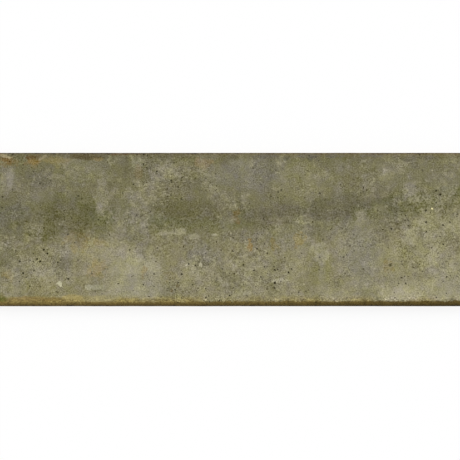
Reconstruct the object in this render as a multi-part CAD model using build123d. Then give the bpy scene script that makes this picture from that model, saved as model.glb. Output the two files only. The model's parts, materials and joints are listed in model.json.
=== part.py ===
# Rustic glazed subway tile, pressed and fired as one piece, lying on its back.
# X runs along the tile, Y across it, and Z up out of the glazed face.
# The origin is the middle of the plane that the ribs of the back stand on. Sizes are in millimetres.
from build123d import *
import math
import os

# Laying module, and the grout joint that it leaves between two tiles
module_length = 304.8
module_width = 101.6
joint_width = 3.2

# Pressed blank: the sides are upright beside the face and draw in below that, so that the die lets go
body_thickness = 9.0
upright_height = 1.2
draft_inset = 0.7

# Rolled arris round the face, and how much rounder than the arris the four corners are in plan
arris_radius = 3.0
corner_excess = 0.6

# Hand-worked face: a shallow trough wanders along the tile between two slow swells
trough_depth = 0.6
trough_half_width = 14.0
trough_offset = -0.3
trough_climb = 12.6
trough_bow = 9.5
swell_height = 0.15
swell_length = 118.0
swell_width = 74.0
face_point_spacing = 12.0

# Square keys pressed into the back for the adhesive, and the ribs between them
key_pitch = 12.7
rib_width = 2.0
key_depth = 0.8
key_draft_angle = 25.0
key_margin = 4.5

tile_length = module_length - joint_width
tile_width = module_width - joint_width
back_length = tile_length - 2 * draft_inset
back_width = tile_width - 2 * draft_inset
corner_radius = arris_radius + corner_excess
lowest_face = body_thickness - trough_depth - swell_height
draft_height = lowest_face - arris_radius - upright_height


def trough_line(x):
    """How far from the tile's middle line the bottom of the trough runs."""
    along = x / tile_length
    return trough_offset + trough_climb * along + trough_bow * (2 * along) ** 2


def face_height(x, y):
    """Height of the worked face above the plane of the ribs."""
    aside = (y - trough_line(x)) / trough_half_width
    along_swell = math.sin(2 * math.pi * x / swell_length)
    across_swell = math.cos(2 * math.pi * y / swell_width)
    return body_thickness + swell_height * along_swell * across_swell - trough_depth * math.exp(-(aside**2))


def places_over(extent):
    """Evenly spaced places that cover an extent and one spacing more at each end."""
    steps = math.ceil(extent / face_point_spacing) + 2
    return [face_point_spacing * (step - steps / 2) for step in range(steps + 1)]


def worked_face():
    """The face as one smooth sheet, a little larger than the tile."""
    rows = places_over(tile_width)
    heights = [[Vector(x, y, face_height(x, y)) for y in rows] for x in places_over(tile_length)]
    return Face.make_surface_from_array_of_points(heights)


def pressed_blank():
    """The tile's plan from the back up, higher than the face will be."""
    back = RectangleRounded(back_length, back_width, corner_radius - draft_inset)
    widest = Pos(0, 0, draft_height) * RectangleRounded(tile_length, tile_width, corner_radius)
    return loft([back, widest], ruled=True) + extrude(widest, body_thickness)


def key_count(extent):
    """How many keys the back holds between its margins."""
    return math.floor((extent - 2 * key_margin + rib_width) / key_pitch)


def back_keys():
    """The pockets of the back, narrower at the bottom than at the mouth."""
    mouth = key_pitch - rib_width
    key = extrude(Rectangle(mouth, mouth), key_depth, taper=key_draft_angle)
    places = GridLocations(key_pitch, key_pitch, key_count(back_length), key_count(back_width))
    return [place * key for place in places]


def tile():
    """The blank cut off at the worked face, its arris rolled and its back keyed."""
    below_face = Solid.extrude(worked_face(), Vector(0, 0, -2 * body_thickness))
    body = pressed_blank() & below_face
    face_rim = body.faces().sort_by(Axis.Z)[-1].edges()
    return fillet(face_rim, arris_radius) - back_keys()


os.makedirs("parts", exist_ok=True)
export_step(tile(), "parts/tile.step")
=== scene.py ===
import json
import math
import random

import bmesh
import bpy
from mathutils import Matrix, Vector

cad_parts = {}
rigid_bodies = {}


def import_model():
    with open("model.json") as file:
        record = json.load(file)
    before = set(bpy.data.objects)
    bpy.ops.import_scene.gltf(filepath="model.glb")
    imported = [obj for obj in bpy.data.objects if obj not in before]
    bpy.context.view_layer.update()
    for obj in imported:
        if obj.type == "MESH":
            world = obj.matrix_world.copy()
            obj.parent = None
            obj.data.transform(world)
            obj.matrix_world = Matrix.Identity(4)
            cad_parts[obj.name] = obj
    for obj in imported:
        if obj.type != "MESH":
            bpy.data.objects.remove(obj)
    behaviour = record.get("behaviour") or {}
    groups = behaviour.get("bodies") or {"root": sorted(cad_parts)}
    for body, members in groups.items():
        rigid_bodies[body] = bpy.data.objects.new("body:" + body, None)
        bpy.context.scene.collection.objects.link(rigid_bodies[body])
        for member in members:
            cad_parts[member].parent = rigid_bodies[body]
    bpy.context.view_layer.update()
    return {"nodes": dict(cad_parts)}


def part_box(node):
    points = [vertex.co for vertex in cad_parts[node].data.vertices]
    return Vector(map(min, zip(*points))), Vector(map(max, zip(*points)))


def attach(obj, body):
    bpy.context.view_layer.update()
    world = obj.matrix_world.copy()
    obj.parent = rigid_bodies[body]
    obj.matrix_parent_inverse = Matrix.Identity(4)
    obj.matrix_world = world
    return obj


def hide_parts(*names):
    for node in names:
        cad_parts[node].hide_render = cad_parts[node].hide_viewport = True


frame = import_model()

# A rustic glazed subway tile, lying on its back and seen from straight above.
# X runs along the tile, Y across it and Z up. The dictionaries hold millimetres, and Blender gets metres.
mm = 0.001
tileLow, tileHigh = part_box("tile")
tileLength = (tileHigh.x - tileLow.x) / mm
tileWidth = (tileHigh.y - tileLow.y) / mm
random.seed(1904)


def linearColour(hexCode):
    # a colour as it is picked on screen, turned to the linear one that a shader wants
    channels = [int(hexCode[i:i + 2], 16) / 255 for i in (0, 2, 4)]
    return [c / 12.92 if c <= 0.04045 else ((c + 0.055) / 1.055) ** 2.4 for c in channels] + [1.0]


def addNode(tree, kind, inputs=None, **settings):
    # Adds a node, a shader one if its kind doesn't say otherwise. Its settings come first, then each input
    # gets a value, a node or a (node, output) pair.
    node = tree.nodes.new(kind if "Node" in kind else "ShaderNode" + kind)
    for name, value in settings.items():
        setattr(node, name, value)
    for name, source in (inputs or {}).items():
        socket = node.inputs[name] if isinstance(name, int) else next(
            s for s in node.inputs if s.enabled and s.name == name)
        if isinstance(source, tuple) and isinstance(source[0], bpy.types.Node):
            tree.links.new(source[0].outputs[source[1]], socket)
        elif isinstance(source, bpy.types.Node):
            tree.links.new(next(s for s in source.outputs if s.enabled), socket)
        else:
            socket.default_value = source
    return node


def selectOnly(*pieces):
    bpy.ops.object.select_all(action="DESELECT")
    for piece in pieces:
        piece.select_set(True)
    bpy.context.view_layer.objects.active = pieces[0]


def selectInEditMode(piece, faceTest=None, edgeTest=None):
    # selects the faces, or the edges, that pass a test of their place
    bm = bmesh.from_edit_mesh(piece.data)
    bpy.ops.mesh.select_mode(type="FACE" if faceTest else "EDGE")
    bpy.ops.mesh.select_all(action="DESELECT")
    for part in bm.faces if faceTest else bm.edges:
        if (faceTest or edgeTest)(part):
            part.select_set(True)
    bm.select_flush_mode()
    bmesh.update_edit_mesh(piece.data)


# Finishes

def newMaterial(name):
    material = bpy.data.materials.new(name)
    material.use_nodes = True
    material.node_tree.nodes.clear()
    return material, material.node_tree


# Reactive glaze on stoneware, dipped and fired once: it is dark and olive in the trough, with painted shade on
# the far slope that faces away from the sun and painted light on the near slope; it dries to a chalky cream on
# the high ground and breaks to iron brown where it runs thin over the rolled edge.
glazeLook = {
    # darker beyond the line as painted shade on the far slope, which faces away from the sun, and paler on the
    # near side as painted light
    "troughToneAndShade": [  # (millimetres from the line of the trough, colour), near side first
        (-46, "8a8466"), (-28, "868064"), (-12, "837d60"), (-3, "797458"), (3, "6e6b49"),
        (9, "676648"), (15, "716d51"), (24, "757055"), (44, "6e6a4d"),
    ],
    "troughLine": (-0.3, 12.6, 9.5),  # offset, climb and bow of the trough, as it was pressed
    "wander": [(10.0, 5.0), (3.0, 2.4)],  # (size, reach) of the raggedness of every stain
    "fineWander": [(2.5, 0.8), (0.9, 0.5)],  # the same for the crisp marks and the drags
    "dotWander": [(1.5, 0.7), (0.6, 0.2)],  # and for the flecks and pinpricks
    "crumble": 5.0,  # size of the crumbling of the stains
    "stainRim": 0.3,  # a stain is 1 in its middle and 0 at its half size, and its rim lies at this level
    "clouds": (12.0, 0.42),  # (size, strength) of light and dark
    "streaks": (3.4, 0.35),  # runs down the tile, drawn out by the stretch
    "streakStretch": (1, 0.12, 1),
    "grain": (0.8, 1.65),  # sand grit, drawn coarser than it is, because the real one is too fine to show
    "dust": "81817a",  # tone by which the grain lightens and darkens
    "sandySize": 13.0,
    "sandy": (0.65, 1.25),  # strength of the grain in the smooth areas and in the sandy ones
    "crumblyGrain": 0.3,  # how much it gains in the crumbly areas
    "hue": 6.0,
    "hueOlive": (1.04, 1.045, 0.86),
    "hueViolet": (0.98, 0.965, 1.12),
    "fleck": "c4bd9b",
    "flecks": (3.9, 0.7, 3.0, 0.37),  # spacing, size of the largest, rarity of the large ones, seed
    "fleckStrength": 0.5,
    "prick": "1a1500",
    "pricks": (2.2, 0.85, 2.4, 0.11),
    "swarmSize": 14.0,
    "swarms": (0.15, 0.8),  # strength of the pinpricks outside the swarms and in them
    "crumblySwarm": 1.2,  # how much they gain in the crumbly areas
    "roughness": (0.45, 0.70),
    "bump": (0.04, 0.6),  # (height, strength) of the grain and the pinpricks
    "specularLevel": 0.14,  # weathered and chalky, so it shines far less than a clear glaze
}

# Near edge, where the wet glaze was dragged out in pale and dark ochre streaks, most of them at the left
dragLook = {
    "tones": ("9c8f57", "776736"),
    "reach": 7.5,
    "pastBrown": 0.4,  # how far in from the brown edge they are at their thickest
    "patchSize": 32.0,
    "leftward": -0.8,  # how the patches thin out to the right, a metre
    "patches": (0.35, 0.56),  # where a patch begins and where it is whole
    "strength": 0.92,
    "size": 1.3,
    "stretch": (0.3, 1, 1),
    "rubbing": (1.4, 0.6),  # how far the streaks lighten and darken what is there
}

# Rolled edge, where the glaze runs thin: brown on the near side and the ends, olive brown on the far side.
# A pair of lengths says how far in a tone begins and how far in it is whole.
edgeLook = {
    "brown": ("7f6e3c", "524319"),  # at the left end and at the right end
    "brownDeep": ("64522f", "463714"),
    "olive": ("3b3017", "54421e"),
    "near": (3.4, 2.4),
    "ends": (3.3, 2.3),
    "deep": (2.4, 0.4),
    "farShade": (4.6, 0.5),
    "farLine": (1.6, 0.5),
    "outline": (0.6, 0.1),
    "narrower": 0.8,  # how much less of the near side is brown at the right end
    "strength": 0.96,
    "shadeStrength": 0.5,
    "blotSize": 1.6,
    "blots": (1.05, 0.72),  # light between the blots and in them
    "outermost": 0.42,  # light at the very edge
    "wander": [(6.0, 0.7), (1.5, 1.0)],
}

# Sides, where the glaze ran down in thick and thin streaks and stopped in a ragged, thickened line
sideLook = {
    "runs": ("3f3315", "7a6d42"),
    "runSize": 5.5,
    "stretch": (1, 1, 0.25),
    "heights": (7.2, 5.2),  # where the streaks begin and where they are whole
    "strength": 0.85,
    "glazeLine": 2.9,  # height where the glaze stops
    "lineWander": [(9.0, 1.6), (2.2, 0.6)],
    "lineSoftness": 0.12,
    "roll": (0.9, 0.1),  # the thickened line, above that height
    "rollTone": "2f2711",
    "rollStrength": 0.8,
}

# Body where the glaze stops: pressed buff stoneware, dry and sandy to the eye, with specks of iron
bodyLook = {
    "clay": ("a98a68", "bba284"),
    "claySize": 11.0,
    "speck": "6d4b30",
    "specks": (2.6, 0.5, 4.0, 0.71),
    "grain": (0.8, 0.9),  # sand, as coarse as on the glaze
    "roughness": 0.88,
}

# (size of the pattern, size of the areas that hold it, stretch, cover, colour, strength)
# The fine ones are thicker in the crumbly areas, each of which is a middle (x, y) and a half size (x, y).
veils = [
    (12.0, 24.0, (1, 0.5, 1), 0.97, "8f8b75", 0.30),  # chalky bloom in upright runs
    (8.0, 20.0, (1, 1, 1), 0.97, "6b693c", 0.28),  # olive where the glaze is thick
    (6.0, 20.0, (0.6, 1, 1), 0.97, "6f6b5a", 0.30),  # slate grey
    (4.0, 16.0, (1, 1, 1), 1.02, "a19b7b", 0.30),  # cream crumbs
    (2.0, 14.0, (1, 1, 1), 1.08, "aca78a", 0.42),  # fine pale squiggles
    (1.8, 12.0, (1, 1, 1), 1.07, "4a4528", 0.40),  # fine dark squiggles
]
veilMix = {
    "areaShare": 0.8,  # weight of the areas beside the pattern itself
    "largestFine": 4.0,  # veils up to this size are fine, and gain the share below in the crumbly areas
    "crumblyShare": 0.14,
    "rim": (-0.04, 0.06),  # from the cover to where a veil begins and to where it is whole
}
crumblyAreas = [
    ((130, -6), (42, 42)), ((0, -30), (64, 26)), ((-44, 36), (24, 24)), ((-117, -24), (34, 24)),
]

# Every stain is a middle (x, y), a half size (x, y), a turn in degrees, a colour and a strength, and is laid
# over the ones before it. The cloudy ones have a soft rim, and the crumbly ones are torn up.
cloudyStains = [
    ((-106, 12), (30, 15), 4, "605f3a", 0.95),  # olive pool at the left
    ((-117, 2), (16, 10), 0, "66633f", 0.85),
    ((-141, 5), (17, 13), 0, "6e6a59", 0.8),  # slate beside it
    ((-142, 32), (9, 13), 10, "827d6b", 0.7),
    ((-120, 33), (14, 9), 0, "6a6653", 0.75),
    ((-98, 34), (17, 10), 0, "6f6c49", 0.7),
    ((-72, -12), (15, 16), 0, "9a9377", 0.8),
    ((-58, -28), (21, 22), 0, "9f9a7e", 0.9),
    ((-62, 8), (13, 26), 6, "7e7a65", 0.65),
    ((-46, 37), (10, 11), 0, "7d7967", 0.7),
    ((-26, 13), (28, 9), -2, "63603c", 0.85),  # olive pool in the middle
    ((14, 36), (36, 15), 0, "7a7665", 0.8),
    ((45, 31), (26, 18), 0, "84805f", 0.6),
    ((62, 14), (28, 10), 12, "66634a", 0.85),
    ((114, 15), (20, 9), 10, "696748", 0.8),
    ((108, 36), (32, 13), 0, "7f7b62", 0.5),
    ((134, 1), (25, 12), 14, "8e8a68", 0.85),
    ((142, 17), (14, 7), 14, "6c694a", 0.7),
    ((83, -16), (16, 28), 0, "85816f", 0.8),
    ((112, -18), (24, 15), 10, "928e64", 0.45),
    ((120, -40), (42, 10), 0, "a59f82", 0.85),
    ((142, -28), (19, 15), 0, "97927a", 0.6),
    ((-106, -22), (9, 15), 0, "837e6e", 0.65),
    ((-18, -17), (17, 12), 0, "7a7666", 0.7),
    ((28, -5), (32, 10), 0, "7a7560", 0.6),
    ((57, -24), (11, 15), 0, "7d7951", 0.7),
    ((36, -24), (15, 13), 0, "8a8560", 0.5),
    ((-122, -36), (15, 10), 0, "868055", 0.5),
    ((4, -34), (26, 11), 0, "868168", 0.5),
    ((-142, -20), (14, 24), 0, "6a664a", 0.8),
    ((-58, -39), (26, 9), 0, "a39e80", 0.7),
    ((-88, -12), (12, 9), 0, "9a936f", 0.7),
    ((70, -42), (24, 6), 0, "9c9679", 0.7),
    ((-20, 42), (24, 9), 0, "6c674a", 0.8),
    ((-131, 1), (17, 9), 0, "65623f", 0.8),
    ((-98, 2), (14, 7), 0, "6b683f", 0.7),
    ((70, 8), (15, 7), 0, "68654a", 0.6),
    ((26, 2), (17, 7), 0, "6f6b50", 0.6),
    ((128, -10), (16, 12), 0, "9a9576", 0.6),
    ((-88, 41), (22, 8), 0, "716d50", 0.7),
    ((-108, 9), (24, 13), 0, "626040", 0.8),
    ((-3, 10.5), (13, 8), 0, "69644a", 0.7),
    ((-128, -22), (12, 16), 0, "78745a", 0.5),
    ((21, 38), (14, 8), 0, "726e5e", 0.5),
    ((71, 39.5), (10, 8), 0, "85806c", 0.6),
]
crumblyStains = [
    ((-145, 43), (12, 6), 0, "7e6f4a", 0.85),
    ((-125, 44), (9, 5), 20, "766845", 0.85),
    ((-110, 44), (12, 5), 0, "817a56", 0.7),
    ((-82, 22), (5, 21), -4, "8f8a75", 0.65),  # pale runs across the tile
    ((-57, 2), (6, 30), 2, "8b8573", 0.45),
    ((-70, 2), (6, 12), 10, "88826c", 0.6),
    ((-44, 38), (6, 8), 0, "918b79", 0.7),
    ((-17, 43), (8, 5), 0, "85704a", 0.6),
    ((-147.5, -44), (5, 3), 0, "6a6433", 0.6),
    ((-141, -29), (6, 5), 0, "8f7f4e", 0.6),
    ((4, 9), (4, 6), 0, "75653a", 0.8),
    ((84, 7), (5, 8), 0, "8d8870", 0.8),
    ((114, 27), (6, 10), 0, "8b8673", 0.75),
    ((-97, -8), (11, 8), 0, "8a7c4f", 0.8),
    ((-98.5, -5), (4, 4), 0, "76693c", 0.7),
    ((-84, -24), (9, 10), 0, "96865c", 0.75),
    ((13.5, -9.5), (2.8, 6), 0, "8a764a", 0.85),
    ((28.5, -8.5), (2.4, 5), 0, "8c7b4c", 0.6),
    ((44, -8), (4.5, 6.5), 0, "887844", 0.85),
    ((57, -15), (9, 8), 0, "a09b80", 0.65),
    ((-55.2, -27), (2.8, 6.5), 0, "958560", 0.6),
    ((-37.5, -30), (6, 5), 0, "8a7f55", 0.55),
    ((-82, -9), (5, 5), 0, "8e8052", 0.5),
    ((101.5, -23.5), (5, 5), 0, "86784a", 0.6),
]
# crumbs, smears and scallops that catch the eye, laid over the veils
crispMarks = [
    ((-142.5, 44.0), (6.5, 3.4), -8, "6f5930", 0.8),  # ochre and cream crumbs under the far edge
    ((-144, 46.9), (7.5, 1.3), -14, "aba07a", 0.85),
    ((-127, 45.9), (4.6, 2.0), 0, "5f4a22", 0.85),
    ((-125, 43.5), (5.6, 2.6), 0, "85703f", 0.7),
    ((-119.5, 46), (4, 1.3), 30, "a69b78", 0.8),
    ((-111.5, 44.6), (12, 3.8), 0, "857a50", 0.7),
    ((-91.3, 46.4), (15, 2.8), 0, "544a2a", 0.8),
    ((-84.3, 44.8), (5, 1.5), 0, "82744a", 0.7),
    ((-68, 48.2), (14, 0.9), 0, "5c3f22", 0.7),
    ((-59.5, 41.5), (5, 6), 0, "98957c", 0.5),
    ((-58.5, 36.2), (3.8, 7.2), 0, "7d7150", 0.6),
    ((-140.3, 33.9), (3.2, 9), 0, "948f7c", 0.6),
    ((2.6, 46.2), (4.4, 2.2), 0, "5d5a3a", 0.7),
    ((22.9, 46.9), (10, 2.0), 0, "6f6d62", 0.7),  # slate scallops
    ((36, 45.5), (3.4, 2.4), 0, "5e5c4a", 0.75),
    ((50, 47.1), (10, 1.9), 0, "6f6d63", 0.65),
    ((51.1, 45.8), (2.9, 2.5), 0, "5d5b49", 0.75),
    ((66.8, 47.0), (7.6, 2.0), 0, "6f6d62", 0.65),
    ((-90.5, -36.8), (3, 2.6), 0, "aaa68e", 0.7),  # pale smears
    ((-84, -37), (7.5, 2.4), 0, "9d9a80", 0.6),
    ((-84, -39.2), (8, 0.9), 0, "6b674a", 0.55),
    ((-42, -2.6), (8.5, 1.5), 3, "a19b82", 0.65),
    ((-32, -1.4), (7, 3.2), 0, "9f9a80", 0.65),
    ((-23.5, -4.3), (6, 2.4), 0, "9f9a80", 0.6),
    ((-9.3, -3.2), (2.6, 1.2), 0, "aca78e", 0.8),
    ((-27.7, -22.6), (2.8, 1.0), 10, "b2ac94", 0.75),
    ((-18.8, -22.4), (1.5, 1.7), 0, "b2ac94", 0.75),
    ((-33.4, -36.3), (1.8, 1.5), 0, "5a4f2c", 0.7),
    ((-37.2, -38.9), (1.2, 2), 0, "6a5a35", 0.6),
    ((102.3, -22.8), (1.5, 2.0), 0, "4d4a2a", 0.8),
    ((30.9, -32.5), (9, 1.6), 4, "a5a086", 0.75),
    ((129.3, 13.2), (1.0, 0.8), 0, "ded4a2", 1.0),
    ((90, 47.4), (12, 1.8), 0, "706e62", 0.7),  # slate again, further right
    ((120, 46.6), (16, 2.0), -2, "6c6958", 0.55),
    ((112, 44.6), (6, 1.8), 0, "605c46", 0.6),
]

# pools are laid over the veils on the trough's far slope, partly a thicker glaze and partly painted shade where
# that slope faces away from the sun, and the near marks over the ochre drags
poolsAndPaintedShade = [
    ((-110, 9), (30, 15), 3, "605a3e", 0.4),
    ((-98, 0), (12, 8), 0, "635c3f", 0.35),
    ((-20, 12), (34, 9), -2, "69624b", 0.3),
    ((66, 13), (22, 10), 10, "655e4b", 0.4),
    ((28, 10), (28, 8), 4, "6f6757", 0.5),
    ((91, 19), (15, 7), 14, "6b6452", 0.4),
    ((-3, 20), (11, 8), 0, "757058", 0.45),
    ((114, 18), (22, 7), 10, "625d42", 0.15),
]
nearMarks = [
    ((-146.5, -44.6), (7, 2.6), 0, "4f541a", 0.8),
    ((-128.6, -44.5), (20, 2.4), 2, "85703f", 0.6),
    ((-112, -44.9), (12, 2.2), 0, "776430", 0.6),
    ((-100, -43.9), (11, 3.2), 0, "a8985f", 0.6),
    ((-85, -44.4), (12, 3.0), 0, "a79d70", 0.55),
    ((-62, -45.2), (18, 2.0), 0, "8f8148", 0.5),
]


def addBell(tree, place, middle, half, turn=0):
    # 1 in the middle of an oval, falling to 0 at its half size
    local = addNode(tree, "Mapping", {
        "Vector": place, "Location": (middle[0] * mm, middle[1] * mm, 0),
        "Rotation": (0, 0, math.radians(turn)), "Scale": (half[0] * mm, half[1] * mm, 1)},
        vector_type="TEXTURE")
    return addNode(tree, "TexGradient", {"Vector": local}, gradient_type="SPHERICAL"), "Fac"


def addStains(tree, colour, place, crumble, stains, raggedness, softness):
    # patches laid over what is there, one after another, their rims broken up by the crumble
    breaking = addNode(tree, "MapRange", {
        "Value": crumble, "To Min": 1 - raggedness / 2, "To Max": 1 + raggedness / 2})
    rim = glazeLook["stainRim"]
    for middle, half, turn, tone, strength in stains:
        bell = addBell(tree, place, middle, half, turn)
        broken = addNode(tree, "Math", {0: bell, 1: breaking}, operation="MULTIPLY")
        amount = addNode(tree, "MapRange", {
            "Value": broken, "From Min": rim - softness, "From Max": rim + softness, "To Max": strength},
            interpolation_type="SMOOTHSTEP")
        colour = addNode(tree, "Mix", {"Factor": amount, "A": colour, "B": linearColour(tone)},
                         data_type="RGBA")
    return colour


def addWander(tree, place, steps):
    # shakes a place by noise of several sizes, so that what is laid there gets a ragged edge
    for size, reach in steps:
        noise = addNode(tree, "TexNoise", {"Vector": place, "Scale": 1 / (size * mm), "Detail": 1.0})
        centred = addNode(tree, "VectorMath", {0: (noise, "Color"), 1: (0.5, 0.5, 0.5)},
                          operation="SUBTRACT")
        place = addNode(tree, "VectorMath", {0: centred, 1: (reach * mm * 2,) * 3, 2: place},
                        operation="MULTIPLY_ADD")
    return place


def addSwing(tree, place, size, strength, detail=2.0, harshness=0.5):
    # a factor that swings about 1 by noise of one size
    noise = addNode(tree, "TexNoise", {
        "Vector": place, "Scale": 1 / (size * mm), "Detail": detail, "Roughness": harshness})
    return addNode(tree, "MapRange", {
        "Value": noise, "To Min": 1 - strength / 2, "To Max": 1 + strength / 2}, clamp=False)


def addPatches(tree, place, size, span, values=(0.0, 1.0), detail=2.0, harshness=0.5):
    # goes from one value to the other while noise of one size goes through a span
    noise = addNode(tree, "TexNoise", {
        "Vector": place, "Scale": 1 / (size * mm), "Detail": detail, "Roughness": harshness})
    return addNode(tree, "MapRange", {
        "Value": noise, "From Min": span[0], "From Max": span[1], "To Min": values[0], "To Max": values[1]})


def addCrumbliness(tree, place):
    # 1 in the middle of each crumbly area, falling to 0 at its rim
    most = 0.0
    for middle, half in crumblyAreas:
        bell = addBell(tree, place, middle, half)
        most = addNode(tree, "Math", {0: bell, 1: most}, operation="MAXIMUM")
    return most


def addVeil(tree, colour, place, crumbliness, veil):
    # crumbs or clouds of one colour, thick in some areas and missing in others
    size, areaSize, stretch, cover, tone, strength = veil
    # moved by its size, so that no two veils share a pattern
    stretched = addNode(tree, "VectorMath", {0: place, 1: stretch, 2: (size * mm,) * 3},
                        operation="MULTIPLY_ADD")
    noise = addNode(tree, "TexNoise", {
        "Vector": stretched, "Scale": 1 / (size * mm), "Detail": 5.0, "Roughness": 0.65})
    areas = addNode(tree, "TexNoise", {"Vector": stretched, "Scale": 1 / (areaSize * mm), "Detail": 2.0})
    together = addNode(tree, "Math", {0: areas, 1: veilMix["areaShare"], 2: noise},
                       operation="MULTIPLY_ADD")
    if size <= veilMix["largestFine"]:
        together = addNode(tree, "Math", {0: crumbliness, 1: veilMix["crumblyShare"], 2: together},
                           operation="MULTIPLY_ADD")
    begin, whole = (cover + offset for offset in veilMix["rim"])
    amount = addNode(tree, "MapRange", {
        "Value": together, "From Min": begin, "From Max": whole, "To Max": strength})
    return addNode(tree, "Mix", {"Factor": amount, "A": colour, "B": linearColour(tone)}, data_type="RGBA")


def addDots(tree, place, spacing, largest, rarity, seed):
    # scattered dots of many sizes: 1 in the inner half of a dot, falling to 0 at its rim
    moved = addNode(tree, "VectorMath", {0: place, 1: (seed, seed, 0)}, operation="ADD")
    cells = addNode(tree, "TexVoronoi", {"Vector": moved, "Scale": 1 / (spacing * mm)})
    apart = addNode(tree, "SeparateXYZ", {"Vector": (cells, "Color")})
    rarer = addNode(tree, "Math", {0: (apart, "X"), 1: rarity}, operation="POWER")
    size = addNode(tree, "Math", {0: rarer, 1: largest / spacing}, operation="MULTIPLY")
    inner = addNode(tree, "Math", {0: size, 1: 0.5}, operation="MULTIPLY")
    return addNode(tree, "MapRange", {"Value": (cells, "Distance"), "From Min": size, "From Max": inner})


def addTroughToneAndPaintedShade(tree, place):
    # the colour by how far a point lies from the line of the trough, dark beyond it as painted shade and pale
    # before it as painted light, where the line is offset + climb * along + 4 * bow * along squared
    apart = addNode(tree, "SeparateXYZ", {"Vector": place})
    offset, climb, bow = glazeLook["troughLine"]
    along = addNode(tree, "Math", {0: (apart, "X"), 1: tileLength * mm}, operation="DIVIDE")
    bowed = addNode(tree, "Math", {0: along, 1: 4 * bow, 2: climb}, operation="MULTIPLY_ADD")
    line = addNode(tree, "Math", {0: along, 1: bowed, 2: offset}, operation="MULTIPLY_ADD")
    across = addNode(tree, "Math", {0: (apart, "Y"), 1: 1 / mm}, operation="MULTIPLY")
    fromTrough = addNode(tree, "Math", {0: across, 1: line}, operation="SUBTRACT")
    tones = glazeLook["troughToneAndShade"]
    first, last = tones[0][0], tones[-1][0]
    ramp = addNode(tree, "ValToRGB", {"Fac": addNode(tree, "MapRange", {
        "Value": fromTrough, "From Min": first, "From Max": last})})
    ramp.color_ramp.interpolation = "EASE"
    while len(ramp.color_ramp.elements) < len(tones):
        ramp.color_ramp.elements.new(0.5)
    for stop, (reach, tone) in zip(ramp.color_ramp.elements, tones):
        stop.position = (reach - first) / (last - first)
        stop.color = linearColour(tone)
    return ramp


def addNearDrags(tree, colour, place, crumble, swing):
    # the ochre drags of the near edge and the marks on them
    apart = addNode(tree, "SeparateXYZ", {"Vector": place})
    fromNear = addNode(tree, "Math", {0: (apart, "Y"), 1: tileWidth / 2 * mm}, operation="ADD")
    thickest = edgeLook["near"][0] + dragLook["pastBrown"]
    band = addNode(tree, "MapRange", {
        "Value": fromNear, "From Min": dragLook["reach"] * mm, "From Max": thickest * mm})
    patches = addNode(tree, "TexNoise", {
        "Vector": place, "Scale": 1 / (dragLook["patchSize"] * mm), "Detail": 4.0})
    leftward = addNode(tree, "Math", {0: (apart, "X"), 1: dragLook["leftward"], 2: patches},
                       operation="MULTIPLY_ADD")
    begin, whole = dragLook["patches"]
    patchy = addNode(tree, "MapRange", {
        "Value": leftward, "From Min": begin, "From Max": whole, "To Max": dragLook["strength"]})
    amount = addNode(tree, "Math", {0: band, 1: patchy}, operation="MULTIPLY")
    dragged = addNode(tree, "VectorMath", {0: place, 1: dragLook["stretch"]}, operation="MULTIPLY")
    drags = addNode(tree, "TexNoise", {
        "Vector": dragged, "Scale": 1 / (dragLook["size"] * mm), "Detail": 3.0, "Roughness": 0.7})
    dark = addNode(tree, "MapRange", {"Value": drags, "From Min": 0.4, "From Max": 0.6})
    pale, deep = map(linearColour, dragLook["tones"])
    ochre = addNode(tree, "Mix", {"Factor": dark, "A": pale, "B": deep}, data_type="RGBA")
    colour = addNode(tree, "Mix", {"Factor": amount, "A": colour, "B": ochre}, data_type="RGBA")
    colour = addStains(tree, colour, place, crumble, nearMarks, raggedness=5.0, softness=0.3)
    lighter, darker = dragLook["rubbing"]
    streaked = addNode(tree, "MapRange", {
        "Value": drags, "From Min": 0.3, "From Max": 0.7, "To Min": lighter, "To Max": darker})
    rubbed = addNode(tree, "Math", {0: streaked, 1: swing}, operation="MULTIPLY")
    rub = addNode(tree, "Mix", {"Factor": band, "A": 1.0, "B": rubbed}, data_type="FLOAT")
    return addNode(tree, "VectorMath", {0: colour, "Scale": rub}, operation="SCALE")


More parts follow.
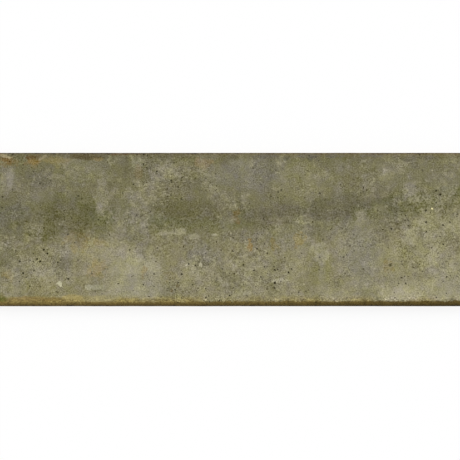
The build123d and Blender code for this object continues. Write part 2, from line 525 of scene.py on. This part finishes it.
def addEdges(tree, colour, place, swing):
    # the browns of the rolled edge, and how far they cover it
    apart = addNode(tree, "SeparateXYZ", {"Vector": place})
    fromNear = addNode(tree, "Math", {0: (apart, "Y"), 1: tileWidth / 2 * mm}, operation="ADD")
    fromFar = addNode(tree, "Math", {0: tileWidth / 2 * mm, 1: (apart, "Y")}, operation="SUBTRACT")
    aside = addNode(tree, "Math", {0: (apart, "X")}, operation="ABSOLUTE")
    fromEnd = addNode(tree, "Math", {0: tileLength / 2 * mm, 1: aside}, operation="SUBTRACT")
    rightward = addNode(tree, "MapRange", {
        "Value": (apart, "X"), "From Min": -tileLength / 2 * mm, "From Max": tileLength / 2 * mm})
    nearest = addNode(tree, "Math", {0: fromNear, 1: fromEnd}, operation="MINIMUM")
    outline = addNode(tree, "Math", {0: nearest, 1: fromFar}, operation="MINIMUM")
    narrowed = addNode(tree, "Math", {0: rightward, 1: -edgeLook["narrower"] * mm, 2: fromNear},
                       operation="MULTIPLY_ADD")

    # how much there is of each tone, from where it begins to where it is whole; the outline only darkens
    amounts = {}
    for name, inwards, outside, strength in (
        ("farShade", fromFar, 0.0, edgeLook["shadeStrength"]),
        ("farLine", fromFar, 0.0, edgeLook["strength"]),
        ("near", narrowed, 0.0, edgeLook["strength"]),
        ("ends", fromEnd, 0.0, edgeLook["strength"]),
        ("deep", nearest, 0.0, 1.0),
        ("outline", outline, 1.0, edgeLook["outermost"]),
    ):
        begin, whole = edgeLook[name]
        amounts[name] = addNode(tree, "MapRange", {
            "Value": inwards, "From Min": begin * mm, "From Max": whole * mm,
            "To Min": outside, "To Max": strength})
    farBrown = addNode(tree, "Math", {0: amounts["farShade"], 1: amounts["farLine"]}, operation="MAXIMUM")
    browning = addNode(tree, "Math", {0: amounts["near"], 1: amounts["ends"]}, operation="MAXIMUM")
    olive, pale, deep = [addNode(tree, "Mix", {
        "Factor": rightward, "A": linearColour(edgeLook[name][0]), "B": linearColour(edgeLook[name][1])},
        data_type="RGBA") for name in ("olive", "brown", "brownDeep")]

    olive = addNode(tree, "VectorMath", {0: olive, "Scale": swing}, operation="SCALE")
    colour = addNode(tree, "Mix", {"Factor": farBrown, "A": colour, "B": olive}, data_type="RGBA")
    brown = addNode(tree, "Mix", {"Factor": amounts["deep"], "A": pale, "B": deep}, data_type="RGBA")
    blots = addPatches(tree, place, edgeLook["blotSize"], span=(0.5, 0.6), values=edgeLook["blots"])
    blotted = addNode(tree, "Math", {0: blots, 1: swing}, operation="MULTIPLY")
    brown = addNode(tree, "VectorMath", {0: brown, "Scale": blotted}, operation="SCALE")
    colour = addNode(tree, "Mix", {"Factor": browning, "A": colour, "B": brown}, data_type="RGBA")
    colour = addNode(tree, "VectorMath", {0: colour, "Scale": amounts["outline"]}, operation="SCALE")
    return colour, addNode(tree, "Math", {0: browning, 1: farBrown}, operation="MAXIMUM")


def addSides(tree, colour, place, swing):
    # the runs down the sides and the line where they stop, and where the body is bare
    drawn = addNode(tree, "VectorMath", {0: place, 1: sideLook["stretch"]}, operation="MULTIPLY")
    thin = addPatches(tree, drawn, sideLook["runSize"], span=(0.36, 0.68), detail=4.0, harshness=0.65)
    thickTone, thinTone = map(linearColour, sideLook["runs"])
    streaked = addNode(tree, "Mix", {"Factor": thin, "A": thickTone, "B": thinTone}, data_type="RGBA")
    streaked = addNode(tree, "VectorMath", {0: streaked, "Scale": swing}, operation="SCALE")
    apart = addNode(tree, "SeparateXYZ", {"Vector": place})
    begin, whole = sideLook["heights"]
    below = addNode(tree, "MapRange", {
        "Value": (apart, "Z"), "From Min": begin * mm, "From Max": whole * mm,
        "To Max": sideLook["strength"]})
    colour = addNode(tree, "Mix", {"Factor": below, "A": colour, "B": streaked}, data_type="RGBA")

    line, softness = sideLook["glazeLine"], sideLook["lineSoftness"]
    wandering = addWander(tree, place, sideLook["lineWander"])
    ragged = addNode(tree, "SeparateXYZ", {"Vector": wandering})
    begin, whole = sideLook["roll"]
    roll = addNode(tree, "MapRange", {
        "Value": (ragged, "Z"), "From Min": (line + begin) * mm, "From Max": (line + whole) * mm,
        "To Max": sideLook["rollStrength"]})
    colour = addNode(tree, "Mix", {
        "Factor": roll, "A": colour, "B": linearColour(sideLook["rollTone"])}, data_type="RGBA")
    return colour, addNode(tree, "MapRange", {
        "Value": (ragged, "Z"), "From Min": (line + softness) * mm, "From Max": (line - softness) * mm})


def addClay(tree, place):
    # the bare body: mottled clay with specks and sand
    clayTone = addNode(tree, "TexNoise", {
        "Vector": place, "Scale": 1 / (bodyLook["claySize"] * mm), "Detail": 6.0, "Roughness": 0.7})
    dark, pale = map(linearColour, bodyLook["clay"])
    clay = addNode(tree, "Mix", {"Factor": clayTone, "A": dark, "B": pale}, data_type="RGBA")
    specks = addDots(tree, place, *bodyLook["specks"])
    clay = addNode(tree, "Mix", {
        "Factor": specks, "A": clay, "B": linearColour(bodyLook["speck"])}, data_type="RGBA")
    sand = addSwing(tree, place, *bodyLook["grain"])
    return addNode(tree, "VectorMath", {0: clay, "Scale": sand}, operation="SCALE")


def makeGlaze():
    material, tree = newMaterial("reactive glaze on stoneware")
    coordinates = addNode(tree, "TexCoord")
    place = (coordinates, "Object")
    flat = addNode(tree, "VectorMath", {0: place, 1: (1, 1, 0)}, operation="MULTIPLY")
    ragged = addWander(tree, flat, glazeLook["wander"])
    nearby = addWander(tree, flat, glazeLook["fineWander"])

    # stains over the tones of the trough and their painted shade and light, then the veils, the pools with
    # their painted shade, and the crisp marks
    crumble = addNode(tree, "TexNoise", {
        "Vector": flat, "Scale": 1 / (glazeLook["crumble"] * mm), "Detail": 5.0, "Roughness": 0.7})
    colour = addTroughToneAndPaintedShade(tree, ragged)
    colour = addStains(tree, colour, ragged, crumble, cloudyStains, raggedness=2.5, softness=0.3)
    colour = addStains(tree, colour, ragged, crumble, crumblyStains, raggedness=6.0, softness=0.12)
    crumbliness = addCrumbliness(tree, ragged)
    for veil in veils:
        colour = addVeil(tree, colour, place, crumbliness, veil)
    # the pools darken the far slope of the trough, partly as painted shade
    colour = addStains(tree, colour, ragged, crumble, poolsAndPaintedShade, raggedness=2.0, softness=0.3)
    colour = addStains(tree, colour, nearby, crumble, crispMarks, raggedness=5.0, softness=0.25)

    # light and dark: clouds, streaks and the grain, which is stronger in the sandy and the crumbly areas
    clouds = addSwing(tree, flat, *glazeLook["clouds"], detail=5.0, harshness=0.85)
    drawn = addNode(tree, "VectorMath", {0: flat, 1: glazeLook["streakStretch"]}, operation="MULTIPLY")
    streaks = addSwing(tree, drawn, *glazeLook["streaks"], detail=3.0)
    clouded = addNode(tree, "Math", {0: clouds, 1: streaks}, operation="MULTIPLY")
    sandiness = addPatches(tree, flat, glazeLook["sandySize"], span=(0.35, 0.65), values=glazeLook["sandy"],
                           detail=3.0)
    coarser = addNode(tree, "Math", {0: crumbliness, 1: glazeLook["crumblyGrain"], 2: sandiness},
                      operation="MULTIPLY_ADD")
    evenGrain = addSwing(tree, place, *glazeLook["grain"], detail=1.0)
    centred = addNode(tree, "Math", {0: evenGrain, 1: 1.0}, operation="SUBTRACT")
    grain = addNode(tree, "Math", {0: centred, 1: coarser}, operation="MULTIPLY")
    swing = addNode(tree, "Math", {0: grain, 1: clouded, 2: clouded}, operation="MULTIPLY_ADD")
    colour = addNode(tree, "VectorMath", {0: colour, "Scale": clouded}, operation="SCALE")

    # one half of the grain scales the colour and the other half adds dust, so that it hardly turns the hue
    halfGrain = addNode(tree, "Math", {0: grain, 1: 0.5, 2: 1.0}, operation="MULTIPLY_ADD")
    colour = addNode(tree, "VectorMath", {0: colour, "Scale": halfGrain}, operation="SCALE")
    halfDust = [channel / 2 for channel in linearColour(glazeLook["dust"])[:3]]
    colour = addNode(tree, "VectorMath", {0: grain, 1: halfDust, 2: colour}, operation="MULTIPLY_ADD")

    # hues that drift between olive and violet
    turned = addPatches(tree, flat, glazeLook["hue"], span=(0.3, 0.7), detail=3.0, harshness=0.6)
    tint = addNode(tree, "Mix", {
        "Factor": turned, "A": glazeLook["hueOlive"], "B": glazeLook["hueViolet"]}, data_type="VECTOR")
    colour = addNode(tree, "VectorMath", {0: colour, 1: tint}, operation="MULTIPLY")

    # pale flecks, and dark pinpricks that lie thickest in loose swarms and in the crumbly areas
    shaken = addWander(tree, flat, glazeLook["dotWander"])
    flecks = addDots(tree, shaken, *glazeLook["flecks"])
    flecked = addNode(tree, "Math", {0: flecks, 1: glazeLook["fleckStrength"]}, operation="MULTIPLY")
    colour = addNode(tree, "Mix", {
        "Factor": flecked, "A": colour, "B": linearColour(glazeLook["fleck"])}, data_type="RGBA")
    swarms = addPatches(tree, flat, glazeLook["swarmSize"], span=(0.42, 0.62), values=glazeLook["swarms"],
                        detail=3.0)
    swarming = addNode(tree, "Math", {0: crumbliness, 1: glazeLook["crumblySwarm"], 2: swarms},
                       operation="MULTIPLY_ADD", use_clamp=True)
    dots = addDots(tree, shaken, *glazeLook["pricks"])
    pricks = addNode(tree, "Math", {0: dots, 1: swarming}, operation="MULTIPLY")

    # the edges, the pinpricks over them, the sides, and the bare body below the ragged end of the glaze
    colour = addNearDrags(tree, colour, nearby, crumble, swing)
    colour, browned = addEdges(tree, colour, addWander(tree, place, edgeLook["wander"]), swing)
    colour = addNode(tree, "Mix", {
        "Factor": pricks, "A": colour, "B": linearColour(glazeLook["prick"])}, data_type="RGBA")
    colour, bare = addSides(tree, colour, place, swing)
    colour = addNode(tree, "Mix", {"Factor": bare, "A": colour, "B": addClay(tree, place)},
                     data_type="RGBA")

    # satin and drier by turns, and dry on the browned edge, in the pinpricks and on the body
    satin, drier = glazeLook["roughness"]
    sheen = addNode(tree, "MapRange", {
        "Value": crumble, "From Min": 0.35, "From Max": 0.65, "To Min": satin, "To Max": drier})
    dry = addNode(tree, "Math", {0: bare, 1: pricks}, operation="MAXIMUM")
    dry = addNode(tree, "Math", {0: dry, 1: browned}, operation="MAXIMUM")
    roughness = addNode(tree, "Mix", {"Factor": dry, "A": sheen, "B": bodyLook["roughness"]},
                        data_type="FLOAT")
    raised = addNode(tree, "Math", {0: grain, 1: pricks}, operation="SUBTRACT")
    height, strength = glazeLook["bump"]
    relief = addNode(tree, "Bump", {"Height": raised, "Distance": height * mm, "Strength": strength})
    skin = addNode(tree, "BsdfPrincipled", {
        "Base Color": colour, "Roughness": roughness, "Specular IOR Level": glazeLook["specularLevel"],
        "Normal": relief})
    addNode(tree, "OutputMaterial", {"Surface": skin})
    return material


# Clay laid bare where the glaze is broken. The floor of a pinhole is coloured dark as painted shade in the
# hole, so to the eye it is a dark, dull dot, and the fresh body in the chip is a pale, dry fleck.
bareLook = {
    # the dark pinhole colour is painted shade in the hole
    "pinhole": ("423813", 0.9),  # (colour, roughness)
    "chip": ("bdb99a", 0.85),
    "grain": (0.9, 0.8),
    "specularLevel": 0.04,
}


def makeBare(name, tone, roughness):
    material, tree = newMaterial(name)
    coordinates = addNode(tree, "TexCoord")
    swing = addSwing(tree, (coordinates, "Object"), *bareLook["grain"])
    colour = addNode(tree, "VectorMath", {0: linearColour(tone)[:3], "Scale": swing}, operation="SCALE")
    skin = addNode(tree, "BsdfPrincipled", {
        "Base Color": colour, "Roughness": roughness, "Specular IOR Level": bareLook["specularLevel"]})
    addNode(tree, "OutputMaterial", {"Surface": skin})
    return material


print("mixing the glaze")
glaze = makeGlaze()
# the floor of the pinholes, coloured dark as painted shade
holes = makeBare("pinhole floor darkened as painted shade", *bareLook["pinhole"])
chipped = makeBare("pale body in a chip", *bareLook["chip"])


# The glazed face, its rolled edge and the sides

tileShape = {
    "cell": 0.75,  # grid cell of the face
    "faceLevel": 9.0,  # mean height of the face above the floor
    "arrisRadius": 3.0,
    "arrisRings": 8,
    "cornerRadius": 3.6,
    "uprightFoot": 4.05,  # where the upright band ends and the side begins to draw in
    "draftInset": 0.7,
    "draftRings": 5,
    "footRadius": 0.4,
    "footRings": 3,
    "weld": 0.005,  # points closer than this become one
    "smoothAngle": 40.0,
}


def faceGrid():
    # the extent of the flat face each way, and how many grid cells it has
    flat = [extent - 2 * tileShape["arrisRadius"] for extent in (tileLength, tileWidth)]
    return flat, [round(extent / tileShape["cell"]) for extent in flat]


def sideProfile():
    # (inset from the widest outline, height) of each ring from the edge of the flat face to the foot
    radius = tileShape["arrisRadius"]
    foot = tileShape["footRadius"]
    rings = []
    for step in range(1, tileShape["arrisRings"] + 1):
        turn = math.pi / 2 * step / tileShape["arrisRings"]
        rings.append((radius * (1 - math.sin(turn)), tileShape["faceLevel"] - radius * (1 - math.cos(turn))))
    archFoot = tileShape["faceLevel"] - radius
    rings.append((0, (archFoot + tileShape["uprightFoot"]) / 2))
    rings.append((0, tileShape["uprightFoot"]))
    for step in range(1, tileShape["draftRings"] + 1):
        share = step / tileShape["draftRings"]
        rings.append((share * tileShape["draftInset"],
                      tileShape["uprightFoot"] + share * (foot - tileShape["uprightFoot"])))
    for step in range(1, tileShape["footRings"] + 1):
        turn = math.pi / 2 * step / tileShape["footRings"]
        rings.append((tileShape["draftInset"] + foot * (1 - math.cos(turn)), foot * (1 - math.sin(turn))))
    return rings


def modelShell():
    # a fine grid for the face, and its border extruded outwards and down, ring by ring
    flat, cells = faceGrid()
    bpy.ops.mesh.primitive_grid_add(x_subdivisions=cells[0], y_subdivisions=cells[1], size=1,
                                    location=(0, 0, tileShape["faceLevel"] * mm))
    shell = bpy.context.object
    shell.scale = (flat[0] * mm, flat[1] * mm, 1)
    bpy.ops.object.transform_apply()
    piercePinholes(shell)
    selectOnly(shell)
    bpy.ops.object.mode_set(mode="EDIT")
    selectInEditMode(shell, edgeTest=lambda edge: edge.is_boundary)
    inset, height = tileShape["arrisRadius"], tileShape["faceLevel"]
    for nextInset, nextHeight in sideProfile():
        bpy.ops.mesh.extrude_edges_move(TRANSFORM_OT_translate={"value": (0, 0, (nextHeight - height) * mm)})
        growth = [(extent - 2 * nextInset) / (extent - 2 * inset) for extent in (tileLength, tileWidth)]
        bpy.ops.transform.resize(value=(growth[0], growth[1], 1), center_override=(0, 0, 0))
        inset, height = nextInset, nextHeight
    bpy.ops.object.mode_set(mode="OBJECT")
    return shell


# Pinholes where gas broke through the glaze, and one chip

pinholes = {
    "single": 90,
    "clusters": 15,
    "clusterReach": 6.0,
    "clusterCount": (3, 7),
    "placed": [  # (x, y) of the ones that catch the eye
        (-146.0, 28.6), (-93.9, 17.0), (-106.1, 11.9), (-119.0, 1.0), (-112.5, -2.3), (-44.8, 29.5),
        (-41.2, 28.0), (-35.0, 27.6), (-30.5, 29.8), (66.9, 2.9), (102.3, -22.8), (116.4, -24.0),
        (140.0, -19.0), (143.5, -22.0), (146.0, -26.5), (141.0, -29.5), (-74.0, 21.0), (29.0, 37.9),
    ],
    "largeShare": 0.3,  # how many are large
    "doubleShare": 0.25,  # how many are two cells long
    "rims": (0.13, 0.2),  # width of the rim that a large and a small one leave whole in their cell
    "wall": 0.06,  # how far in a wall leans on its way down
    "depth": 0.3,
    "chip": [  # its lobes, middle and half size
        ((-108.8, -34.2), (1.2, 1.5)), ((-110.5, -34.5), (0.9, 0.6)), ((-108.2, -35.8), (0.8, 0.7)),
    ],
    "chipRim": 0.01,
    "chipWall": 0.15,
    "chipDepth": 0.15,
    "edgeMargin": 6.0,
}


def pinholePlaces():
    # mostly by ones, some in loose clusters, none near the edge
    reach = [tileLength / 2 - pinholes["edgeMargin"], tileWidth / 2 - pinholes["edgeMargin"]]
    places = list(pinholes["placed"])
    for _ in range(pinholes["single"]):
        places.append([random.uniform(-half, half) for half in reach])
    for _ in range(pinholes["clusters"]):
        middle = [random.uniform(-half, half) for half in reach]
        for _ in range(random.randint(*pinholes["clusterCount"])):
            places.append([
                max(-half, min(half, random.gauss(centre, pinholes["clusterReach"] / 2)))
                for centre, half in zip(middle, reach)
            ])
    return places


def piercePinholes(shell):
    # picks the grid cells at each place, insets them and pushes them down
    flat, cells = faceGrid()
    cell = [extent / count for extent, count in zip(flat, cells)]

    def cellAt(place):
        return tuple(math.floor((value + extent / 2) / pitch)
                     for value, extent, pitch in zip(place, flat, cell))

    sizes = [set(), set()]
    for place in pinholePlaces():
        column, row = cellAt(place)
        wanted = sizes[0 if random.random() < pinholes["largeShare"] else 1]
        wanted.add((column, row))
        if random.random() < pinholes["doubleShare"]:
            wanted.add(random.choice([(column + 1, row), (column, row + 1), (column + 1, row + 1)]))
    sizes[1] -= sizes[0]

    def middleOf(face):
        return [value / mm for value in face.calc_center_median()[:2]]

    def inChip(face):
        place = middleOf(face)
        return any(sum(((value - at) / size) ** 2 for value, at, size in zip(place, middle, half)) < 1
                   for middle, half in pinholes["chip"])

    for finish in (glaze, holes, chipped):
        shell.data.materials.append(finish)
    bpy.ops.object.mode_set(mode="EDIT")
    largeRim, smallRim = pinholes["rims"]
    hole = (pinholes["wall"], pinholes["depth"])
    for slot, test, rim, wall, depth in (
        (1, lambda face: cellAt(middleOf(face)) in sizes[0] and not inChip(face), largeRim, *hole),
        (1, lambda face: cellAt(middleOf(face)) in sizes[1] and not inChip(face), smallRim, *hole),
        (2, inChip, pinholes["chipRim"], pinholes["chipWall"], pinholes["chipDepth"]),
    ):
        selectInEditMode(shell, faceTest=test)
        bpy.ops.mesh.inset(thickness=rim * mm)
        bpy.ops.mesh.inset(thickness=wall * mm, depth=-depth * mm)
        bpy.ops.mesh.select_more()
        shell.active_material_index = slot
        bpy.ops.object.material_slot_assign()
    bpy.ops.object.mode_set(mode="OBJECT")


# The keyed back

backShape = {
    "pitch": 12.7,
    "rib": 2.0,
    "depth": 0.8,
    "draft": 0.37,  # how far each wall of a key leans in
    "margin": 4.5,
    "edge": 0.25,  # softened edges of the keys
    "bend": 0.1,  # faces that turn by more than this have an edge between them
}


def modelBack():
    # a grid with one face for each key, each face inset by half a rib and then pressed in on a slope
    back = [extent - 2 * tileShape["draftInset"] for extent in (tileLength, tileWidth)]
    keys = [math.floor((extent - 2 * backShape["margin"] + backShape["rib"]) / backShape["pitch"])
            for extent in back]
    bpy.ops.mesh.primitive_grid_add(x_subdivisions=keys[0], y_subdivisions=keys[1], size=1)
    keyed = bpy.context.object
    keyed.data.materials.append(glaze)
    keyed.scale = [count * backShape["pitch"] * mm for count in keys] + [1]
    bpy.ops.object.transform_apply()
    bpy.ops.object.mode_set(mode="EDIT")
    bpy.ops.mesh.select_all(action="SELECT")
    bpy.ops.mesh.flip_normals()
    bpy.ops.mesh.inset(thickness=backShape["rib"] / 2 * mm, use_individual=True)
    bpy.ops.mesh.inset(thickness=backShape["draft"] * mm, depth=-backShape["depth"] * mm, use_individual=True)

    def isKeyEdge(edge):
        # round the mouth and the bottom of a key, and down its corners
        if len(edge.link_faces) != 2:
            return False
        one, other = edge.link_faces
        pressed = min(point.co.z for point in edge.verts) > backShape["depth"] * mm / 2
        return pressed or abs(one.normal.z - other.normal.z) > backShape["bend"]

    selectInEditMode(keyed, edgeTest=isKeyEdge)
    bpy.ops.mesh.bevel(offset=backShape["edge"] * mm, segments=2, affect="EDGES")
    bpy.ops.object.mode_set(mode="OBJECT")
    return keyed


def joinShellAndBack(shell, keyed):
    # one closed skin: the flat margin of the back is filled between the foot of the sides and the key grid
    selectOnly(shell, keyed)
    bpy.ops.object.join()
    bpy.ops.object.mode_set(mode="EDIT")
    selectInEditMode(shell, edgeTest=lambda edge: edge.is_boundary)
    bpy.ops.mesh.fill(use_beauty=False)
    bpy.ops.mesh.select_all(action="SELECT")
    bpy.ops.mesh.remove_doubles(threshold=tileShape["weld"] * mm)
    bpy.ops.mesh.normals_make_consistent(inside=False)
    bpy.ops.object.mode_set(mode="OBJECT")
    return shell


# The hand-made unevenness of the glazed skin

skinRelief = {
    "patterns": [  # (size, height, stretch, detail)
        (26.0, 0.10, (1, 1, 1), 2.0),  # slow swell of the pressed clay
        (7.0, 0.05, (1, 0.2, 1), 2.0),  # drag marks of the glaze as it ran
        (2.6, 0.035, (1, 1, 1), 1.0),  # orange peel
    ],
    "noiseGain": 1.6,  # a noise keeps to about 0.6 of its range, and this gives each pattern its whole height
    "noneBelow": 0.6,  # the relief fades out down the sides to this height
    "heightBlur": 40,
    "insideArris": 0.3,  # the height is taken this far inside the flat face
    "rayStart": 50.0,
    "rayLength": 100.0,
}


def addReliefModifier(piece):
    # Geometry Nodes: rounds the corners in plan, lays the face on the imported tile's waves and adds the relief
    tree = bpy.data.node_groups.new("hand-made unevenness", "GeometryNodeTree")
    tree.interface.new_socket("Geometry", in_out="INPUT", socket_type="NodeSocketGeometry")
    tree.interface.new_socket("Geometry", in_out="OUTPUT", socket_type="NodeSocketGeometry")
    start = addNode(tree, "NodeGroupInput")
    place = addNode(tree, "GeometryNodeInputPosition")
    apart = addNode(tree, "SeparateXYZ", {"Vector": place})

    # corners: outside the core, a square ring becomes a round one
    core = [(extent / 2 - tileShape["cornerRadius"]) * mm for extent in (tileLength, tileWidth)]
    beyond, held = [], []
    for axis, half in zip("XY", core):
        clamped = addNode(tree, "Clamp", {"Value": (apart, axis), "Min": -half, "Max": half})
        held.append(clamped)
        beyond.append(addNode(tree, "Math", {0: (apart, axis), 1: clamped}, operation="SUBTRACT"))
    outward = addNode(tree, "CombineXYZ", {"X": beyond[0], "Y": beyond[1]})
    sizes = [addNode(tree, "Math", {0: reach}, operation="ABSOLUTE") for reach in beyond]
    square = addNode(tree, "Math", {0: sizes[0], 1: sizes[1]}, operation="MAXIMUM")
    unit = addNode(tree, "VectorMath", {0: outward}, operation="NORMALIZE")
    rounded = addNode(tree, "VectorMath", {0: unit, "Scale": square}, operation="SCALE")
    inCore = addNode(tree, "CombineXYZ", {"X": held[0], "Y": held[1], "Z": (apart, "Z")})
    cornered = addNode(tree, "VectorMath", {0: inCore, 1: rounded}, operation="ADD")
    laid = addNode(tree, "GeometryNodeSetPosition", {"Geometry": (start, 0), "Position": cornered})

    # waves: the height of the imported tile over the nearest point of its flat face
    margin = tileShape["arrisRadius"] + skinRelief["insideArris"]
    flatHalf = [(extent / 2 - margin) * mm for extent in (tileLength, tileWidth)]
    inner = [addNode(tree, "Clamp", {"Value": (apart, axis), "Min": -half, "Max": half})
             for axis, half in zip("XY", flatHalf)]
    above = addNode(tree, "CombineXYZ", {"X": inner[0], "Y": inner[1], "Z": skinRelief["rayStart"] * mm})
    packed = addNode(tree, "GeometryNodeObjectInfo", {"Object": frame["nodes"]["tile"]})
    ray = addNode(tree, "GeometryNodeRaycast", {
        "Target Geometry": (packed, "Geometry"), "Source Position": above,
        "Ray Direction": (0, 0, -1), "Ray Length": skinRelief["rayLength"] * mm})
    met = addNode(tree, "SeparateXYZ", {"Vector": (ray, "Hit Position")})
    rise = addNode(tree, "Math", {0: (met, "Z"), 1: tileShape["faceLevel"] * mm}, operation="SUBTRACT")
    smoothRise = addNode(tree, "GeometryNodeBlurAttribute", {
        "Value": rise, "Iterations": skinRelief["heightBlur"]}, data_type="FLOAT")
    archFoot = (tileShape["faceLevel"] - tileShape["arrisRadius"]) * mm
    lifted = addNode(tree, "MapRange", {
        "Value": (apart, "Z"), "From Min": tileShape["uprightFoot"] * mm, "From Max": archFoot})
    waves = addNode(tree, "Math", {0: smoothRise, 1: lifted}, operation="MULTIPLY")
    waved = addNode(tree, "GeometryNodeSetPosition", {
        "Geometry": laid, "Offset": addNode(tree, "CombineXYZ", {"Z": waves})})

    # relief: always inwards, so that the tile never outgrows its size
    depth = 0.0
    for size, height, stretch, detail in skinRelief["patterns"]:
        stretched = addNode(tree, "VectorMath", {0: place, 1: stretch}, operation="MULTIPLY")
        noise = addNode(tree, "TexNoise", {"Vector": stretched, "Scale": 1 / (size * mm), "Detail": detail})
        depth = addNode(tree, "Math", {
            0: noise, 1: -skinRelief["noiseGain"] * height * mm, 2: depth}, operation="MULTIPLY_ADD")
    weight = addNode(tree, "MapRange", {
        "Value": (apart, "Z"), "From Min": skinRelief["noneBelow"] * mm,
        "From Max": tileShape["uprightFoot"] * mm})
    weighed = addNode(tree, "Math", {0: depth, 1: weight}, operation="MULTIPLY")
    inward = addNode(tree, "VectorMath", {
        0: addNode(tree, "GeometryNodeInputNormal"), "Scale": weighed}, operation="SCALE")
    worn = addNode(tree, "GeometryNodeSetPosition", {"Geometry": waved, "Offset": inward})
    addNode(tree, "NodeGroupOutput", {0: worn})
    modifier = piece.modifiers.new("Hand-made unevenness", "NODES")
    modifier.node_group = tree
    selectOnly(piece)
    bpy.ops.object.modifier_apply(modifier=modifier.name)


print("modelling the tile")
tile = modelShell()
tile = joinShellAndBack(tile, modelBack())
addReliefModifier(tile)
tile.name = tile.data.name = "glazed_tile"
bpy.ops.object.shade_smooth_by_angle(angle=math.radians(tileShape["smoothAngle"]))

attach(tile, "root")
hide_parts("tile")


# The stage: a white floor, a soft sun from the far side and a camera straight above

stage = {
    "floorSize": 12000.0,
    "floorDrop": 0.02,  # so that the ribs of the back never share a plane with it
    "floorOpening": 1.9,  # inside the outline of the tile, so that the back is lit when it is seen from below
    "floorGlow": 0.87,  # share of the camera's view of it that is plain white, and the rest holds the shadow
    "skyLevel": 0.5,
    "sunLevel": 0.5,
    "sunHeight": 52.0,  # degrees, as the two below
    "sunTurn": -6.0,
    "sunSoftness": 45.0,
    "sunPlace": (0, 500.0, 1000.0),  # only for whoever opens the file: a sun shines alike from anywhere
    "pixelSize": 0.6385,  # millimetres of the face to one pixel of the picture
    "pictureSize": 460,
    "lens": 200.0,
    "filmWidth": 36.0,
    "farthest": 20000.0,  # how far the camera sees
    "pixelsLow": 0.44,  # how far the camera stands to the near side, so that the tile sits a little high
}

print("setting the stage")
bpy.ops.object.select_all(action="DESELECT")
bpy.ops.mesh.primitive_plane_add(size=1, location=(0, 0, -stage["floorDrop"] * mm))
floor = bpy.context.object
floor.name = "floor"
opening = [(extent - 2 * stage["floorOpening"]) * mm for extent in (tileLength, tileWidth)]
floor.scale = (opening[0], opening[1], 1)
bpy.ops.object.transform_apply()
bpy.ops.object.mode_set(mode="EDIT")
bpy.ops.mesh.select_all(action="SELECT")
bpy.ops.mesh.delete(type="ONLY_FACE")
bpy.ops.mesh.select_mode(type="EDGE")
bpy.ops.mesh.select_all(action="SELECT")
bpy.ops.mesh.extrude_edges_move()
growth = [stage["floorSize"] * mm / extent for extent in opening]
bpy.ops.transform.resize(value=(growth[0], growth[1], 1), center_override=(0, 0, 0))
bpy.ops.object.mode_set(mode="OBJECT")

# matt white paper: to the eye it is plain white, without a shine, and holds only the tile's soft shadow
paper, tree = newMaterial("white floor")
light = addNode(tree, "LightPath")
geometry = addNode(tree, "NewGeometry")
lit = addNode(tree, "BsdfDiffuse", {"Color": (1, 1, 1, 1)})
glow = addNode(tree, "Emission", {"Strength": 1.0})
seen = addNode(tree, "Math", {0: (light, "Is Camera Ray"), 1: stage["floorGlow"]}, operation="MULTIPLY")
top = addNode(tree, "MixShader", {0: seen, 1: lit, 2: glow})
under = addNode(tree, "BsdfTransparent")
addNode(tree, "OutputMaterial", {
    "Surface": addNode(tree, "MixShader", {0: (geometry, "Backfacing"), 1: top, 2: under})})
floor.data.materials.append(paper)

bpy.ops.object.light_add(type="SUN", location=[value * mm for value in stage["sunPlace"]])
sun = bpy.context.object
sun.name = "soft sun"
sun.rotation_euler = (math.radians(stage["sunHeight"] - 90), math.radians(stage["sunTurn"]), 0)
sun.data.energy = stage["sunLevel"] * math.pi / math.sin(math.radians(stage["sunHeight"]))
sun.data.angle = math.radians(stage["sunSoftness"])

world = bpy.data.worlds.new("white room")
bpy.context.scene.world = world
world.use_nodes = True
tree = world.node_tree
tree.nodes.clear()
light = addNode(tree, "LightPath")
shown = (light, "Is Camera Ray")
for kind in ("Is Glossy Ray", "Is Transmission Ray"):
    shown = addNode(tree, "Math", {0: shown, 1: (light, kind)}, operation="MAXIMUM")
strength = addNode(tree, "MapRange", {"Value": shown, "To Min": stage["skyLevel"], "To Max": 1.0})
addNode(tree, "OutputWorld", {"Surface": addNode(tree, "Background", {
    "Color": (1, 1, 1, 1), "Strength": strength})})

spread = stage["pixelSize"] * stage["pictureSize"]
distance = spread * stage["lens"] / stage["filmWidth"]
nearer = -stage["pixelsLow"] * stage["pixelSize"]
bpy.ops.object.camera_add(
    location=(0, nearer * mm, (tileShape["faceLevel"] + distance) * mm), rotation=(0, 0, 0))
camera = bpy.context.object
camera.data.lens = stage["lens"]
camera.data.sensor_width = stage["filmWidth"]
camera.data.clip_end = stage["farthest"] * mm
bpy.context.scene.camera = camera
bpy.context.scene.view_settings.view_transform = "Standard"
